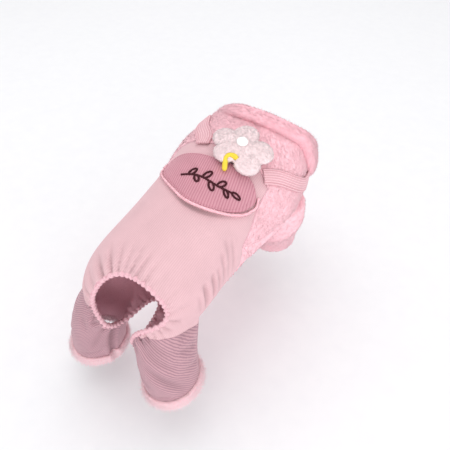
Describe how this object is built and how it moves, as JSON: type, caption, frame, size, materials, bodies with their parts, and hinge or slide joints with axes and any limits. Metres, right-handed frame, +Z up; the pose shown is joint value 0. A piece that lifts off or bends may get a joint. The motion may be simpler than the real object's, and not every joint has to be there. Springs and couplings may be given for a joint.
{
  "type": "dog jumpsuit",
  "caption": "Four-leg dog jumpsuit in ribbed cloth with plush shoulders and collar, a back pocket, straps and a puffy flower, shown as worn.",
  "frame": {"origin": "inner face of the back panel over the spine, where the suit rests on the wearer's back", "axes": "+X the wearer's right, +Y towards the head, +Z up, millimetres in the source and metres here"},
  "size_m": [0.1522, 0.2967, 0.1872],
  "materials": {
    "corduroy": "fine-rib corduroy, light pink",
    "leg_corduroy": "fine-rib corduroy, dusty pink",
    "pocket_corduroy": "wide-rib corduroy, rose pink",
    "plush": "short-pile plush, light pink",
    "binding": "gathered elastic binding, light pink",
    "pale_plush": "short-pile plush, pale pink",
    "button": "smooth white plastic",
    "chenille": "yellow chenille pile over a wire core"
  },
  "bodies": {
    "root": {"back_panel": "corduroy", "belly_panel": "plush", "hind_leg_right": "leg_corduroy", "hind_leg_left": "leg_corduroy", "hind_cuff_right": "plush", "hind_cuff_left": "plush", "rump_binding": "binding", "plush_yoke": "plush", "plush_chest": "plush", "front_sleeve_right": "plush", "front_sleeve_left": "plush", "collar": "plush", "strap_right": "corduroy", "strap_left": "corduroy", "pocket_panel": "pocket_corduroy", "pocket_piping": "plush", "flower": "pale_plush", "flower_button": "button", "flower_stem": "chenille"}
  },
  "joints": []
}
